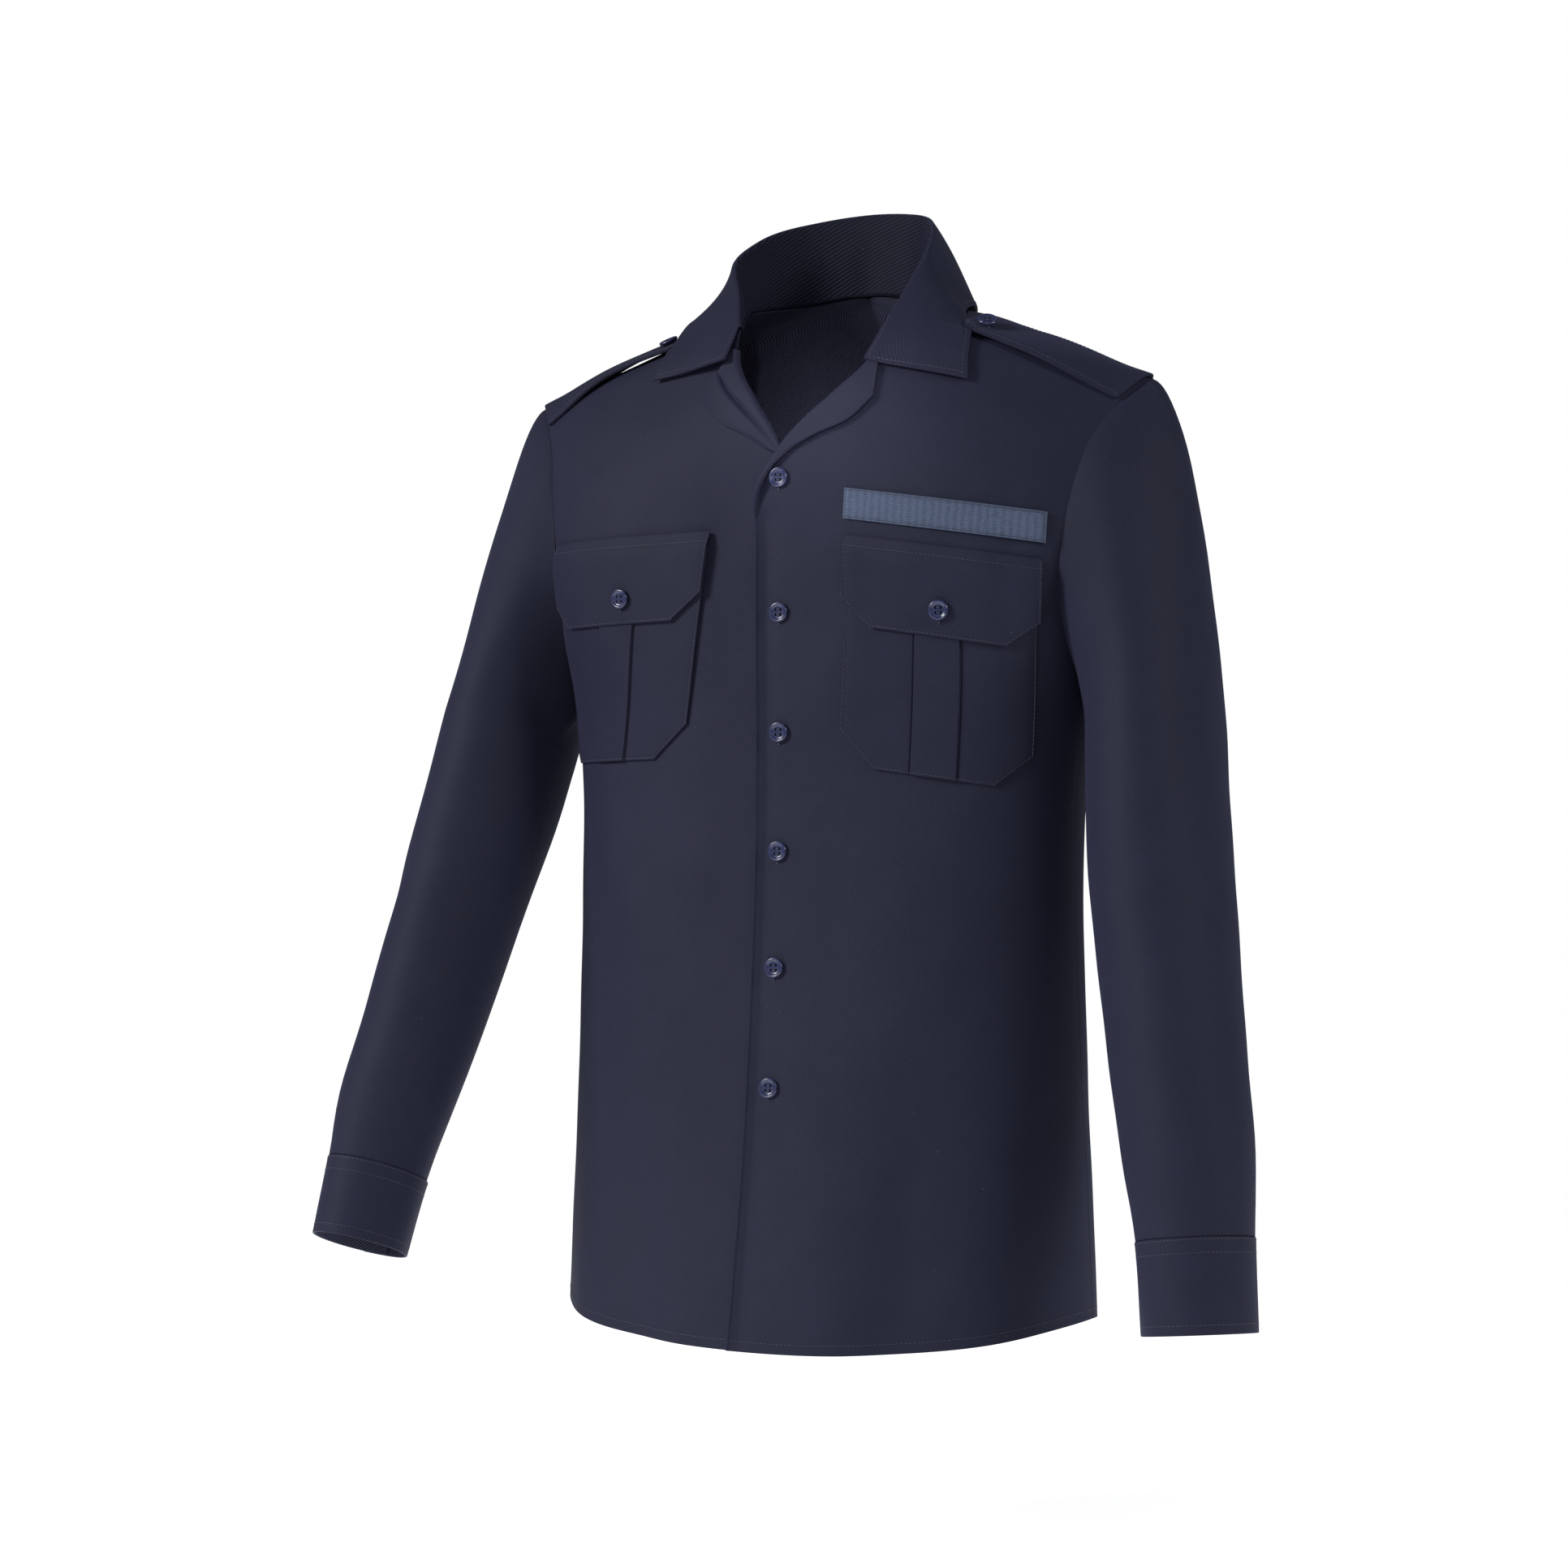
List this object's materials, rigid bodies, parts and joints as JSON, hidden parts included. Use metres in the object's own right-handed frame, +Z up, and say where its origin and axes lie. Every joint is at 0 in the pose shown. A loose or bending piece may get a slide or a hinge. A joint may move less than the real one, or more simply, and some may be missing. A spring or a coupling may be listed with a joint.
{
  "type": "flame-resistant uniform shirt",
  "caption": "Long-sleeved navy uniform shirt, filled out with no wearer: folded collar, turned-back lapels, buttoned front, flap pockets, shoulder straps, name strip and cuffs.",
  "frame": {"origin": "middle of the neck at the height of the side-neck points, where the wearer's shoulders hold the shirt up", "axes": "+Z up, the shirt's front faces -Y, the wearer's left is +X"},
  "size_m": [0.6322, 0.3216, 0.771],
  "materials": {
    "navy_twill": "matt twill",
    "loop_strip": "loop pile",
    "button": "glossy"
  },
  "bodies": {
    "root": {"front_left": "navy_twill", "front_right": "navy_twill", "back": "navy_twill", "sleeve_left": "navy_twill", "sleeve_right": "navy_twill", "cuff_left": "navy_twill", "cuff_right": "navy_twill", "collar": "navy_twill", "lapel_left": "navy_twill", "lapel_right": "navy_twill", "pocket_left": "navy_twill", "pocket_right": "navy_twill", "flap_left": "navy_twill", "flap_right": "navy_twill", "epaulette_left": "navy_twill", "epaulette_right": "navy_twill", "name_strip": "loop_strip", "button_front_1": "button", "button_front_2": "button", "button_front_3": "button", "button_front_4": "button", "button_front_5": "button", "button_front_6": "button", "button_flap_left": "button", "button_flap_right": "button", "button_strap_left": "button", "button_strap_right": "button", "button_cuff_left": "button", "button_cuff_right": "button"}
  },
  "joints": []
}
